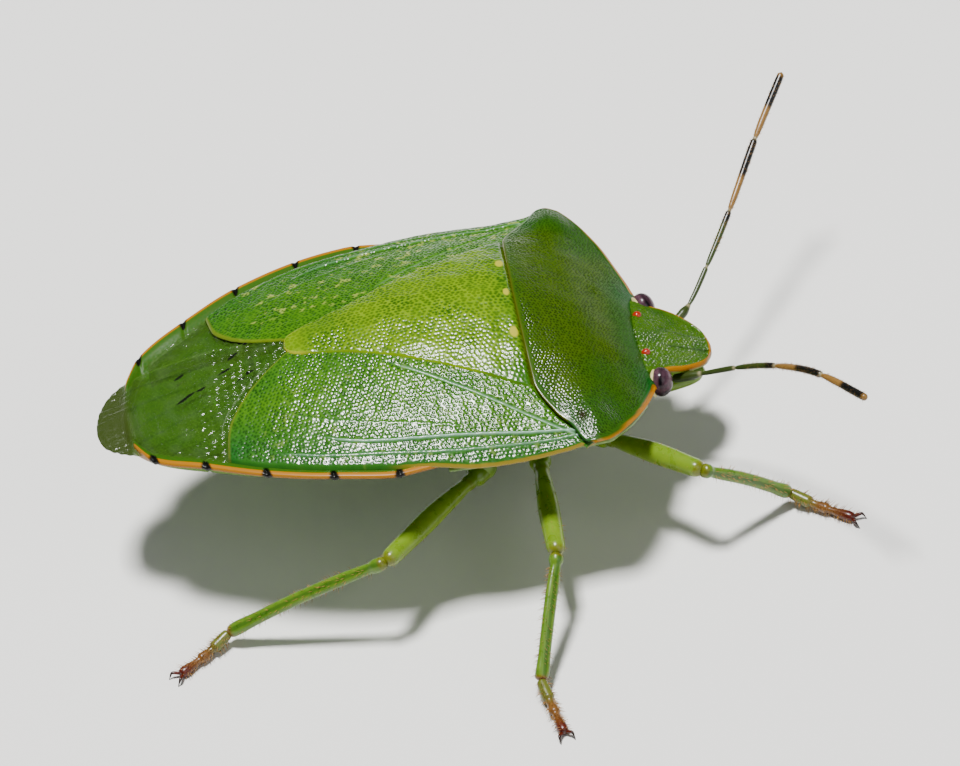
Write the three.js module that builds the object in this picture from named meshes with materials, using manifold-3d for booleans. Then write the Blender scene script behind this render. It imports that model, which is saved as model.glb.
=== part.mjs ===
// A green shield bug, life size, standing on six feet. Millimetres, +X to the head, +Y to its left, +Z up.
// Heights are first given from the plane of the shoulders' edge; the whole is then lifted onto its feet.
import * as THREE from 'three';
import * as BufferGeometryUtils from 'three/addons/utils/BufferGeometryUtils.js';
import Module from 'manifold-3d';

const wasm = await Module();
wasm.setup();

// Driving sizes
const SEAM = 0.28;              // clear space kept between neighbouring pieces
const STAND = 4.8;              // height of the shoulders' edge over the floor
const CENTRE_X = 2.69;          // shift that puts the middle of the whole over the origin
const CENTRE_Y = 0.34;
const SHELL = 0.5;              // thickness of wings and scutellum
const PRONOTUM_SHELL = 0.65;
const CROWN_POWER = 1.65;       // roundness of the back from side to side
const BELLY_POWER = 1.35;       // the belly's sides slope in like a boat's
const SHOULDER = { x: 0.3, y: 4.1, spread: 0.6, rise: 0.15 };  // a low swelling on each shoulder
const BED_DROP = SHELL + SEAM;  // how far the body lies under the surface of the back
const LIP = 0.3;                // thickness of the body's side edge
const COSTAL_SHELL = 0.4;       // thickness of a wing's outer edge
const RIM = 0.25;               // width of the rim that shows beside the wings
const RIM_FOOT = 0.58;          // where the rim's inner slope meets the bed
const RIM_LEAST = 0.18;         // thickness kept under that slope
const VEIN = 0.12;              // height of a vein's ridge
const WAIST_X = -3.6;           // where thorax and abdomen part
const APEX_X = -12.1;           // end of the abdomen
const HUMERAL = [0.1, 4.87];    // shoulder angle, x and half-width
const PRONOTUM_FRONT = [1.98, 1.93];
const PRONOTUM_HIND_X = -1.2;
const SCUTELLUM_TIP_X = -7.46;
const HEAD_TIP_X = 3.75;
const HEAD_SLOPE = 0.554;
const EYE = { at: [2.2, 1.56, -1.32], radii: [0.4, 0.4, 0.42] };

// Outlines and profiles, as x against a size, from the rear forwards
const halfWidth = profile([[-12.1, 0.75], [-11.8, 1.5], [-11.42, 2.15], [-10.07, 3.02], [-8.52, 3.87],
  [-6.79, 4.47], [-5.09, 4.79], [-3.4, 4.88], [-2.4, 4.87], [-1.4, 4.8], [-0.6, 4.79], [0.1, 4.87], [0.45, 4.76],
  [0.73, 4.5], [1.05, 4.06], [1.44, 3.35], [1.86, 2.28], [1.98, 1.93], [2.3, 1.8]]);
const edgeHeight = profile([[-12.83, -0.02], [-12.1, 0.08], [-11.42, 0.22], [-10.07, 0.4], [-8.52, 0.46],
  [-6.79, 0.43], [-5.09, 0.29], [-3.4, 0.16], [-2.4, 0.07], [-1.4, 0.01], [-0.6, 0.02], [0.1, 0.05], [0.45, -0.05],
  [0.73, -0.17], [1.05, -0.3], [1.44, -0.55], [1.86, -1.02], [1.98, -1.16], [2.3, -1.4]]);
const ridgeHeight = profile([[-12.83, 0.02], [-11.5, 0.35], [-10, 0.75], [-8.5, 1.15], [-7.46, 1.41],
  [-5.5, 1.62], [-4, 1.72], [-2.5, 1.68], [-1.2, 1.53], [-0.5, 1.25], [0.3, 0.75], [1, 0.05],
  [1.59, -0.63], [1.98, -1.1], [2.3, -1.35]]);
const bellyDepth = profile([[-12.1, -1], [-11.5, -1.45], [-10.5, -1.95], [-9, -2.35], [-7, -2.65], [-5, -2.8],
  [-3, -2.8], [-1, -2.75], [0.5, -2.6], [1.6, -2.4]]);
const scutellumHalf = profile([[-7.46, 0.12], [-7.3, 0.33], [-7, 0.5], [-6.4, 0.7], [-5.7, 0.95], [-4.98, 1.26],
  [-3.8, 1.8], [-2.5, 2.4], [-1.2, 3]]);
const wingHalf = profile([[-9.46, 2.8], [-9.3, 2.93], [-8.52, 3.33], [-6.79, 3.94], [-5.09, 4.27], [-4.6, 4.33],
  [-3.9, 4.42], [-3.5, 4.68], [-3, 4.8], [-2.4, 4.84], [-1.4, 4.78], [-0.6, 4.68]]);
const hindMargin = profile([[0, -1.2], [2.9, -1.16], [3.83, -0.75], [4.24, -0.42], [4.61, -0.25], [4.78, -0.13],
  [4.87, 0.1]]);                // half-width against x along the pronotum's hind margin

// Smooth curve through a short list of points, flat where the list turns
function profile(points) {
  const slope = points.map((point, i) => {
    if (i === 0 || i === points.length - 1) return null;
    const before = (point[1] - points[i - 1][1]) / (point[0] - points[i - 1][0]);
    const after = (points[i + 1][1] - point[1]) / (points[i + 1][0] - point[0]);
    return before * after <= 0 ? 0 : 2 * before * after / (before + after);
  });
  const last = points.length - 1;
  slope[0] = (points[1][1] - points[0][1]) / (points[1][0] - points[0][0]);
  slope[last] = (points[last][1] - points[last - 1][1]) / (points[last][0] - points[last - 1][0]);
  return (x) => {
    if (x <= points[0][0]) return points[0][1];
    if (x >= points[last][0]) return points[last][1];
    const i = points.findIndex((point) => point[0] > x) - 1;
    const span = points[i + 1][0] - points[i][0];
    const u = (x - points[i][0]) / span;
    const a = 2 * u ** 3 - 3 * u ** 2 + 1;
    const b = u ** 3 - 2 * u ** 2 + u;
    const c = u ** 3 - u ** 2;
    return a * points[i][1] + b * span * slope[i] + (1 - a) * points[i + 1][1] + c * span * slope[i + 1];
  };
}

// The back: from its ridge down to the side edge
function back(x, y) {
  const edge = edgeHeight(x);
  const across = Math.min(1, Math.abs(y) / halfWidth(x));
  const shoulder = ((x - SHOULDER.x) / SHOULDER.spread) ** 2 + ((Math.abs(y) - SHOULDER.y) / SHOULDER.spread) ** 2;
  return edge + (ridgeHeight(x) - edge) * (1 - across ** CROWN_POWER) + SHOULDER.rise * Math.exp(-shoulder);
}

// The belly: a rounded keel under the side edge's lip
function belly(x, y) {
  const lip = edgeHeight(x) - LIP;
  const across = Math.min(1, Math.abs(y) / halfWidth(x));
  return lip - (lip - bellyDepth(x)) * (1 - across ** BELLY_POWER);
}

const lerp = (a, b, t) => a + (b - a) * t;
const steps = (count) => Array.from({ length: count + 1 }, (_, i) => i / count);
const polyline = (points) => {
  const curve = new THREE.CatmullRomCurve3(points.map(([x, y]) => new THREE.Vector3(x, y, 0)), false, 'centripetal');
  return (t) => {
    const at = curve.getPoint(t);
    return [at.x, at.y];
  };
};

function geometry(positions, triangles) {
  const made = new THREE.BufferGeometry();
  made.setAttribute('position', new THREE.Float32BufferAttribute(positions.flat(), 3));
  made.setIndex(triangles.flat());
  return made;
}

// A closed plate: a grid of plan points, its upper and lower heights, and walls all round
function slab(plan, top, bottom, rows, columns) {
  const positions = [];
  const triangles = [];
  const width = columns.length;
  const layer = rows.length * width;
  for (const height of [top, bottom]) {
    for (const s of rows) {
      for (const t of columns) {
        const [x, y] = plan(s, t);
        positions.push([x, y, height(x, y, s, t)]);
      }
    }
  }
  const quad = (a, b, c, d) => triangles.push([a, b, c], [a, c, d]);
  for (let i = 0; i + 1 < rows.length; i++) {
    for (let j = 0; j + 1 < width; j++) {
      const a = i * width + j;
      quad(a, a + 1, a + 1 + width, a + width);
      triangles.push([a + layer, a + layer + 1 + width, a + layer + 1]);
      triangles.push([a + layer, a + layer + width, a + layer + 1 + width]);
    }
  }
  for (let j = 0; j + 1 < width; j++) {
    const far = (rows.length - 1) * width + j;
    quad(j + layer, j + 1 + layer, j + 1, j);
    quad(far, far + 1, far + 1 + layer, far + layer);
  }
  for (let i = 0; i + 1 < rows.length; i++) {
    const near = i * width;
    const far = near + width - 1;
    quad(near, near + width, near + width + layer, near + layer);
    quad(far + layer, far + width + layer, far + width, far);
  }
  return outward(geometry(positions, triangles));
}

// Turns a closed surface so that its faces look out
function outward(made) {
  const place = made.getAttribute('position');
  const index = made.getIndex().array;
  const [a, b, c] = [new THREE.Vector3(), new THREE.Vector3(), new THREE.Vector3()];
  let volume = 0;
  for (let i = 0; i < index.length; i += 3) {
    a.fromBufferAttribute(place, index[i]);
    b.fromBufferAttribute(place, index[i + 1]);
    c.fromBufferAttribute(place, index[i + 2]);
    volume += a.dot(b.cross(c));
  }
  if (volume < 0) {
    for (let i = 0; i < index.length; i += 3) [index[i], index[i + 1]] = [index[i + 1], index[i]];
  }
  return made;
}

// A limb: rings of a given number of sides along a smooth path, closed by flat ends
function limb(points, radii, sides, rings, grow = 0, floor = -Infinity) {
  const path = new THREE.CatmullRomCurve3(points.map((point) => new THREE.Vector3(...point)), false, 'centripetal');
  const frames = path.computeFrenetFrames(rings, false);
  const radius = profile(radii);
  const positions = [];
  const triangles = [];
  for (let i = 0; i <= rings; i++) {
    const centre = path.getPointAt(i / rings);
    const stretch = i === 0 ? -grow : i === rings ? grow : 0;
    centre.addScaledVector(frames.tangents[i], stretch);
    for (let j = 0; j < sides; j++) {
      const turn = 2 * Math.PI * (j + 0.5) / sides;
      const at = centre.clone()
        .addScaledVector(frames.normals[i], Math.cos(turn) * (radius(i / rings) + grow))
        .addScaledVector(frames.binormals[i], Math.sin(turn) * (radius(i / rings) + grow));
      positions.push([at.x, at.y, Math.max(at.z, floor)]);
    }
  }
  for (let i = 0; i < rings; i++) {
    for (let j = 0; j < sides; j++) {
      const a = i * sides + j;
      const b = i * sides + (j + 1) % sides;
      triangles.push([a, b, b + sides], [a, b + sides, a + sides]);
    }
  }
  for (let j = 1; j + 1 < sides; j++) {
    triangles.push([0, j + 1, j]);
    triangles.push([rings * sides, rings * sides + j, rings * sides + j + 1]);
  }
  return outward(geometry(positions, triangles));
}

function ball(at, radii, grow = 0, across = 12, down = 8) {
  const made = new THREE.SphereGeometry(1, across, down);
  made.rotateX(Math.PI / 2);
  made.scale(...radii.map((radius) => radius + grow));
  made.translate(...at);
  return made;
}

function solid(made) {
  const bare = made.clone();
  bare.deleteAttribute('normal');
  bare.deleteAttribute('uv');
  const merged = BufferGeometryUtils.mergeVertices(bare, 1e-5);
  return new wasm.Manifold(new wasm.Mesh({
    numProp: 3,
    vertProperties: new Float32Array(merged.getAttribute('position').array),
    triVerts: new Uint32Array(merged.getIndex().array),
  }));
}

// Keeps the largest closed surface of a joined or cut solid
function surface(joined) {
  const pieces = joined.decompose().sort((a, b) => b.volume() - a.volume());
  const mesh = pieces[0].getMesh();
  const made = new THREE.BufferGeometry();
  made.setAttribute('position', new THREE.BufferAttribute(new Float32Array(mesh.vertProperties), mesh.numProp));
  made.setIndex(new THREE.BufferAttribute(new Uint32Array(mesh.triVerts), 1));
  return made;
}

const cut = (made, ...tools) => surface(tools.reduce((whole, tool) => whole.subtract(solid(tool)), solid(made)));
const join = (made, ...others) => surface(others.reduce((whole, other) => whole.add(solid(other)), solid(made)));

// Finishes
const finish = (color, roughness) => new THREE.MeshStandardMaterial({ color, roughness, metalness: 0 });
const FINISH = {
  pronotum: finish(0x4f7a1c, 0.3),
  scutellum: finish(0x7d9c22, 0.3),
  corium: finish(0x5f9a2a, 0.3),
  membrane: finish(0x4d7a33, 0.25),
  abdomen: finish(0x6f9c2a, 0.35),
  thorax: finish(0x86ad45, 0.35),
  head: finish(0x5a8a20, 0.3),
  eye: finish(0x6e5a68, 0.25),
  feeler: finish(0x3d4a22, 0.4),
  leg: finish(0x8db53c, 0.35),
  shin: finish(0x5f8a3a, 0.35),
  foot: finish(0x8a4a24, 0.4),
};

const bug = new THREE.Group();
bug.position.set(CENTRE_X, CENTRE_Y, STAND);

function add(name, made, material) {
  const mesh = new THREE.Mesh(made, material);
  mesh.name = name;
  bug.add(mesh);
}

// Pronotum: the shield behind the head, steep in front, with a shoulder angle on each side
function pronotumPlan(s, t) {
  const side = Math.abs(t);
  const reach = HUMERAL[1] * side;
  const hindX = hindMargin(reach);
  const frontX = lerp(1.605, PRONOTUM_FRONT[0], side ** 2);
  const marginX = lerp(HUMERAL[0], PRONOTUM_FRONT[0], s);
  const straightY = lerp(HUMERAL[1], PRONOTUM_FRONT[1], s);
  const bulge = (halfWidth(marginX) - straightY) * side ** 3;
  return [lerp(hindX, frontX, s), Math.sign(t) * (lerp(HUMERAL[1], PRONOTUM_FRONT[1], s) * side + bulge)];
}
const PRONOTUM_COLUMNS = [-1, -0.98, -0.945, -0.87, -0.79, -0.6, -0.4, -0.2, 0,
  0.2, 0.4, 0.6, 0.79, 0.87, 0.945, 0.98, 1];
add('pronotum', slab(pronotumPlan, back, (x, y) => back(x, y) - PRONOTUM_SHELL, steps(9), PRONOTUM_COLUMNS),
  FINISH.pronotum);

// Scutellum: the long triangle with a narrow rounded tongue
const scutellumStart = PRONOTUM_HIND_X - SEAM;
const scutellumPlan = (s, t) => {
  const x = lerp(scutellumStart, SCUTELLUM_TIP_X, s);
  return [x, t * scutellumHalf(x)];
};
const SCUTELLUM_ROWS = [0, 0.1, 0.22, 0.34, 0.46, 0.58, 0.68, 0.78, 0.87, 0.93, 0.97, 1];
add('scutellum', slab(scutellumPlan, back, (x, y) => back(x, y) - SHELL, SCUTELLUM_ROWS,
  [-1, -0.6, -0.3, 0, 0.3, 0.6, 1]), FINISH.scutellum);

// Leathery part of each forewing, between scutellum, shoulder and side edge, with two raised veins
const coriumInner = (s) => {
  const x = lerp(-1.42, -7.6, s);
  return [x, scutellumHalf(x) + SEAM * 1.1];
};
const coriumOuter = (s) => {
  const x = lerp(-0.5, -9.46, s);
  return [x, wingHalf(x)];
};
const coriumRear = polyline([[-7.6, 0.43], [-8.3, 0.8], [-9.28, 2], [-9.46, 2.8]]);
const VEINS_AT = { corium: [0.4, 0.78], right: [0.14, 0.28, 0.42, 0.56, 0.7, 0.84], left: [0.35, 0.7] };
const HALF_VEIN = 0.035;
const ribbed = (across, veins) => {
  const lines = [...across, ...veins.flatMap((at) => [at - HALF_VEIN, at, at + HALF_VEIN])];
  return [...new Set(lines)].sort((a, b) => a - b);
};
const raised = (height, veins, drop = 0) => (x, y, s, t) => height(x, y) - drop
  + (veins.some((at) => Math.abs(Math.abs(t) - at) < 1e-6) ? VEIN * Math.min(1, 8 * s * (1 - s)) : 0);
for (const [side, sign] of [['left', 1], ['right', -1]]) {
  const plan = (s, t) => {
    const [ix, iy] = coriumInner(s);
    const [ox, oy] = coriumOuter(s);
    const [rx, ry] = coriumRear(t);
    const endX = lerp(-7.6, -9.46, t);
    const endY = lerp(0.43, 2.8, t);
    const pull = s ** 3;
    return [lerp(ix, ox, t) + (rx - endX) * pull, sign * (lerp(iy, oy, t) + (ry - endY) * pull)];
  };
  const under = (x, y, s, t) => back(x, y) - lerp(SHELL, COSTAL_SHELL, t ** 4);
  add(`forewing_corium_${side}`, slab(plan, raised(back, VEINS_AT.corium), under,
    steps(10), ribbed([0, 0.2, 0.6, 1], VEINS_AT.corium)), FINISH.corium);
}

// Membranes: the right one lies on top and reaches past the abdomen, the left one shows as a strip beside it
const MEMBRANE_DROP = 0.04;
const membraneRoot = polyline([[-9.75, -2.6], [-9.5, -1.85], [-8.62, -0.65], [-7.82, 0], [-8.3, 0.62]]);
const membraneEnd = polyline([[-10.15, -2.42], [-11.4, -1.6], [-12.35, -1.12], [-12.8, -0.2],
  [-12.7, 0.6], [-12.2, 1.2]]);
const rightMembrane = (s, t) => {
  const [x0, y0] = membraneRoot(t);
  const [x1, y1] = membraneEnd(t);
  return [lerp(x0, x1, s), lerp(y0, y1, s) + 1.5 * s * (1 - s) * t ** 3];
};
add('forewing_membrane_right', slab(rightMembrane, raised(back, VEINS_AT.right, MEMBRANE_DROP),
  (x, y) => back(x, y) - SHELL, steps(8), ribbed([0, 1], VEINS_AT.right)), FINISH.membrane);
const stripInner = polyline([[-8.78, 1.12], [-9.6, 1.52], [-10.4, 1.68], [-11, 1.66]]);
const stripOuter = polyline([[-9.76, 2.62], [-10.2, 2.42], [-10.6, 2.2], [-11, 1.95]]);
const leftMembrane = (s, t) => {
  const [x0, y0] = stripInner(s);
  const [x1, y1] = stripOuter(s);
  return [lerp(x0, x1, t), lerp(y0, y1, t)];
};
add('forewing_membrane_left', slab(leftMembrane, raised(back, VEINS_AT.left, MEMBRANE_DROP),
  (x, y) => back(x, y) - SHELL, steps(6), ribbed([0, 1], VEINS_AT.left)), FINISH.membrane);

// Legs: hip, knee, end of the shin and tip of the foot, from the photo on the right side
const HIP = { front: [0.2, 1.6, -2.6], middle: [-1.4, 1.8, -2.7], hind: [-2.9, 1.9, -2.7] };
const STANCE = {
  front_right: [[2.72, -4.53, -2], [4.95, -3.53, -4.35], [6.49, -4.72, -4.6]],
  middle_right: [[-1.49, -5.98, -2.5], [-2.6, -8.63, -4.38], [-2.28, -10.44, -4.6]],
  hind_right: [[-5.95, -5.48, -2], [-10.49, -4.32, -4.38], [-11.97, -5.24, -4.6]],
  front_left: [[0.7, 5.2, -2.3], [0.1, 7.9, -4.35], [0.15, 9.35, -4.6]],
  middle_left: [[-2.2, 5.9, -2.3], [-3, 8.3, -4.38], [-3.4, 9.75, -4.6]],
  hind_left: [[-5.95, 5.48, -2], [-10.49, 4.32, -4.38], [-11.97, 5.24, -4.6]],
};
const THIGH_RADII = [[0, 0.42], [0.08, 0.44], [0.16, 0.3], [0.24, 0.27], [0.5, 0.34], [0.85, 0.31], [0.94, 0.33], [1, 0.2]];
const SHIN_RADII = [[0, 0.22], [0.1, 0.25], [0.5, 0.25], [0.9, 0.27], [1, 0.24]];
const FOOT_RADII = [[0, 0.2], [0.3, 0.25], [0.36, 0.19], [0.42, 0.21], [0.6, 0.24], [0.66, 0.18],
  [0.72, 0.19], [0.95, 0.22], [1, 0.16]];
const CLAW_RADII = [[0, 0.12], [0.6, 0.1], [1, 0.05]];
const LEG_SIDES = 8;
const vector = (point) => new THREE.Vector3(...point);
const mid = (a, b, t, lift = 0) => vector(a).lerp(vector(b), t).add(new THREE.Vector3(0, 0, lift)).toArray();
const thighs = [];
for (const [name, [knee, ankle, tip]] of Object.entries(STANCE)) {
  const [pair, side] = name.split('_');
  const [hipX, hipY, hipZ] = HIP[pair];
  const hip = [hipX, side === 'left' ? hipY : -hipY, hipZ];
  const thigh = (grow) => limb([hip, mid(hip, knee, 0.5, 0.06), knee], THIGH_RADII, LEG_SIDES, 12, grow);
  const shin = (grow) => limb([knee, mid(knee, ankle, 0.5, 0.1), ankle], SHIN_RADII, LEG_SIDES, 6, grow);
  const sole = [tip[0], tip[1], -STAND + 0.2];
  const ahead = vector(tip).sub(vector(ankle)).setZ(0).normalize();
  const beside = new THREE.Vector3(-ahead.y, ahead.x, 0);
  const foot = limb([ankle, mid(ankle, sole, 0.4, -0.06), sole], FOOT_RADII, LEG_SIDES, 10, 0, -STAND);
  const claws = [-1, 1].map((turn) => {
    const root = vector(sole).addScaledVector(ahead, -0.12).addScaledVector(beside, turn * 0.06);
    const bend = root.clone().addScaledVector(ahead, 0.26).addScaledVector(beside, turn * 0.16);
    const end = bend.clone().addScaledVector(ahead, 0.14).addScaledVector(beside, turn * 0.04).setZ(-STAND + 0.07);
    return limb([root.toArray(), bend.toArray(), end.toArray()], CLAW_RADII, 6, 4, 0, -STAND);
  });
  thighs.push(thigh(SEAM));
  add(`leg_${name}_femur`, thigh(0), FINISH.leg);
  add(`leg_${name}_tibia`, cut(shin(0), thigh(SEAM)), FINISH.shin);
  add(`leg_${name}_tarsus`, cut(join(foot, ...claws), shin(SEAM * 0.7)), FINISH.foot);
}

// Antennae: five segments each, from the photo, a little thicker at each segment's far end
const ANTENNA = {
  left: [[3.09, 1.3, -1.62], [3.4, 1.5, -1.52], [4.12, 2.39, -1.06], [5.07, 3.7, -0.37], [6.19, 5.38, 0.53], [7.31, 6.86, 1.41]],
  right: [[2.75, -1.2, -1.66], [3.28, -1.38, -1.46], [4.19, -1.97, -0.98], [5.2, -3.07, -0.23], [6.26, -4.69, 0.56], [7.2, -6.31, 0.89]],
};
const FEELER_RADII = [[0, 0.25], [0.08, 0.27], [0.1, 0.23], [0.26, 0.26], [0.28, 0.23], [0.5, 0.27], [0.53, 0.23], [0.75, 0.28], [0.78, 0.24], [0.93, 0.27], [1, 0.12]];
const feelers = [];
for (const [side, points] of Object.entries(ANTENNA)) {
  const feeler = (grow) => limb(points, FEELER_RADII, 6, 26, grow);
  feelers.push(feeler(SEAM));
  add(`antenna_${side}`, feeler(0), FINISH.feeler);
}

// Beak: folded back along the belly between the hips
const beakHeight = (x) => bellyDepth(x) - 0.36;
const beakPath = [[3.45, 0, -2.62], [2.9, 0, -2.86], [1.6, 0, -2.95], [0.3, 0, beakHeight(0.3)], [-1.2, 0, beakHeight(-1.2)],
  [-2.7, 0, beakHeight(-2.7)]];
const BEAK_RADII = [[0, 0.25], [0.5, 0.27], [0.9, 0.24], [1, 0.12]];
const beak = (grow) => limb(beakPath, BEAK_RADII, 8, 10, grow);
add('beak', beak(0), FINISH.leg);

// Eyes, each set in a socket in the head's side
const EYES = [['left', 1], ['right', -1]];
const eyeAt = (sign) => [EYE.at[0], sign * EYE.at[1], EYE.at[2]];
for (const [side, sign] of EYES) add(`eye_${side}`, ball(eyeAt(sign), EYE.radii), FINISH.eye);

// Head: flat above, sloping down to a blunt tip, deeper below for the beak's root
const headHalf = profile([[0, 1.45], [0.2, 1.45], [0.35, 1.33], [0.62, 1.17], [0.86, 0.86], [1, 0.5]]);
const headPlan = (s, t) => {
  const y = t * headHalf(s);
  const rearX = 1.605 + SEAM + 0.375 * (y / PRONOTUM_FRONT[1]) ** 2;
  return [lerp(rearX, HEAD_TIP_X - 0.12 * t * t, s), y];
};
const headTop = (x, y) => -0.8 - HEAD_SLOPE * (x - 1.98) - 0.1 * (y / 1.4) ** 2 * (HEAD_TIP_X - x) / 1.8;
const headFloor = profile([[1.9, -2.5], [2.6, -2.5], [3.4, -2.3], [3.75, -2.2]]);
const headUnder = (x, y, s, t) => {
  const lip = headTop(x, y) - 0.36;
  return lip - Math.max(0, lip - headFloor(x)) * (1 - Math.abs(t) ** 4);
};
const head = slab(headPlan, headTop, headUnder, steps(8), [-1, -0.8, -0.5, -0.25, 0, 0.25, 0.5, 0.8, 1]);
add('head', cut(head, ...EYES.map(([, sign]) => ball(eyeAt(sign), EYE.radii, SEAM)), ...feelers, beak(SEAM)), FINISH.head);

// Thorax: the body under pronotum and wing roots, with a socket for each hip
const THORAX_FRONT_X = 1.55;
const thoraxHalf = (x) => Math.max(1.5, halfWidth(x) - 0.9);
const thoraxPlan = (s, t) => {
  const x = lerp(THORAX_FRONT_X, WAIST_X, s);
  return [x, t * thoraxHalf(x)];
};
const underPronotum = (x) => Math.max(0, Math.min(1, (x + 1.7) / 0.4));
const thoraxTop = (x, y) => back(x, y) - SEAM - lerp(SHELL, PRONOTUM_SHELL, Math.abs(y) > 2.9 ? 1 : underPronotum(x));
const BODY_COLUMNS = [-1, -0.92, -0.75, -0.5, -0.25, 0, 0.25, 0.5, 0.75, 0.92, 1];
const thorax = slab(thoraxPlan, thoraxTop, (x, y) => Math.min(belly(x, y), thoraxTop(x, y) - 0.3), steps(8), BODY_COLUMNS);
add('thorax', cut(thorax, ...thighs, beak(SEAM)), FINISH.thorax);

// Abdomen: a bed for the wings and a raised rim beside them that fades towards the tip
const abdomenPlan = (s, t) => {
  const x = lerp(WAIST_X - SEAM, APEX_X, s);
  const w = halfWidth(x);
  const side = Math.abs(t);
  const rimFoot = w - Math.min(RIM_FOOT, 0.3 * w);
  return [x, Math.sign(t) * (side > 0.9 ? lerp(rimFoot, w, (side - 0.9) / 0.1) : side / 0.9 * rimFoot)];
};
const rimFade = (x) => Math.max(0, Math.min(1, (x + 11.75) / 0.4));
const abdomenTop = (x, y, s, t) => {
  const bed = back(x, y) - BED_DROP;
  const slope = Math.max(0, Math.min(1, (1 - (halfWidth(x) - Math.abs(y)) / RIM_FOOT) / (1 - RIM / RIM_FOOT)));
  return lerp(bed, edgeHeight(x), slope * rimFade(x));
};
const abdomenUnder = (x, y, s, t) => Math.min(belly(x, y), abdomenTop(x, y, s, t) - RIM_LEAST);
const RIM_INNER = 1 - 0.1 * RIM / RIM_FOOT;
const RIM_COLUMNS = [-1, -RIM_INNER, -0.9, -0.75, -0.5, -0.25, 0, 0.25, 0.5, 0.75, 0.9, RIM_INNER, 1];
const abdomen = slab(abdomenPlan, abdomenTop, abdomenUnder, steps(14), RIM_COLUMNS);
add('abdomen', cut(abdomen, ...thighs, beak(SEAM)), FINISH.abdomen);

export default bug;
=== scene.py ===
"""A green shield bug at life size: pitted cuticle plates, veined wings, jointed legs and banded feelers.

Body sizes are millimetres: x to the head, y to the bug's left, z up from the plane of the shoulders' edge.
"""
import math

import bpy
import numpy as np
from mathutils import Matrix, Vector
from mathutils.geometry import tessellate_polygon


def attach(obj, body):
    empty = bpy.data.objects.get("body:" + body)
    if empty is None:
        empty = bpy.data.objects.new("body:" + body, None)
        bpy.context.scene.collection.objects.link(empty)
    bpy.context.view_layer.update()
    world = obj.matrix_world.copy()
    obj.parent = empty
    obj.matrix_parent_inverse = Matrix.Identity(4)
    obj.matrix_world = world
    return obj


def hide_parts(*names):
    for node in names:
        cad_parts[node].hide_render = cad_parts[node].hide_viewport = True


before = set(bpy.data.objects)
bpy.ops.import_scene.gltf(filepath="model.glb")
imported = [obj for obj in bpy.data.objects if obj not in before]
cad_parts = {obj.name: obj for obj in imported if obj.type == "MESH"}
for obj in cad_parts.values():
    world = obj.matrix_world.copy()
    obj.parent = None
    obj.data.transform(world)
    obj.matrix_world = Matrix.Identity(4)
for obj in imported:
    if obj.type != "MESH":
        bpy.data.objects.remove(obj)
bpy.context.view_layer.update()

# Places and sizes shared with the solids
MM = 0.001
STAND = 4.8
BODY_AT = np.array((2.69, 0.34, STAND))
HUMERAL = (0.1, 4.87)
PRONOTUM_FRONT = (1.98, 1.93)
SCUTELLUM_TIP_X = -7.46
WAIST_X = -3.75
APEX_X = -12.1
HEAD_TIP_X = 3.75
HEAD_SLOPE = 0.554
CROWN_POWER = 1.65
BELLY_POWER = 1.35
SHOULDER_AT = (0.3, 4.1)
SHOULDER_SPREAD = 0.6
SHOULDER_RISE = 0.15
EYE_AT = (2.2, 1.56, -1.28)
SEGMENT_ENDS = (-5.09, -6.79, -8.52, -10.07, -11.42)


def profile(points):
    """A smooth curve through a short list of points, level where the list turns."""
    at_x, value = np.array(points, float).T
    rise = np.diff(value) / np.diff(at_x)
    before, after = rise[:-1], rise[1:]
    total = np.where(before + after == 0, 1, before + after)
    inner = np.where(before * after > 0, 2 * before * after / total, 0)
    slope = np.concatenate(([rise[0]], inner, [rise[-1]]))

    def curve(x):
        x = np.clip(x, at_x[0], at_x[-1])
        i = np.clip(np.searchsorted(at_x, x, side="right") - 1, 0, len(at_x) - 2)
        span = at_x[i + 1] - at_x[i]
        u = (x - at_x[i]) / span
        keep = 2 * u**3 - 3 * u**2 + 1
        bend = (u**3 - 2 * u**2 + u) * slope[i] + (u**3 - u**2) * slope[i + 1]
        return keep * value[i] + (1 - keep) * value[i + 1] + span * bend

    return curve


half_width = profile([(-12.1, 0.75), (-11.8, 1.5), (-11.42, 2.15), (-10.07, 3.02), (-8.52, 3.87),
                      (-6.79, 4.47), (-5.09, 4.79), (-3.4, 4.88), (-2.4, 4.87), (-1.4, 4.8),
                      (-0.6, 4.79), (0.1, 4.87), (0.45, 4.76), (0.73, 4.5), (1.05, 4.06), (1.44, 3.35),
                      (1.86, 2.28), (1.98, 1.93), (2.3, 1.8)])
edge_height = profile([(-12.83, -0.02), (-12.1, 0.08), (-11.42, 0.22), (-10.07, 0.4), (-8.52, 0.46),
                       (-6.79, 0.43), (-5.09, 0.29), (-3.4, 0.16), (-2.4, 0.07), (-1.4, 0.01),
                       (-0.6, 0.02), (0.1, 0.05), (0.45, -0.05), (0.73, -0.17), (1.05, -0.3),
                       (1.44, -0.55), (1.86, -1.02), (1.98, -1.16), (2.3, -1.4)])
ridge_height = profile([(-12.83, 0.02), (-11.5, 0.35), (-10, 0.75), (-8.5, 1.15), (-7.46, 1.41),
                        (-5.5, 1.62), (-4, 1.72), (-2.5, 1.68), (-1.2, 1.53), (-0.5, 1.25), (0.3, 0.75),
                        (1, 0.05), (1.59, -0.63), (1.98, -1.1), (2.3, -1.35)])
belly_depth = profile([(-12.1, -1), (-11.5, -1.45), (-10.5, -1.95), (-9, -2.35), (-7, -2.65),
                       (-5, -2.8), (-3, -2.8), (-1, -2.75), (0.5, -2.6), (1.6, -2.4)])
scutellum_half = profile([(-7.46, 0.02), (-7.41, 0.22), (-7.3, 0.38), (-7, 0.54), (-6.4, 0.72),
                          (-5.7, 0.97), (-4.98, 1.28), (-3.8, 1.84), (-2.5, 2.45), (-1.2, 3.05),
                          (-0.9, 3.1)])
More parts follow.
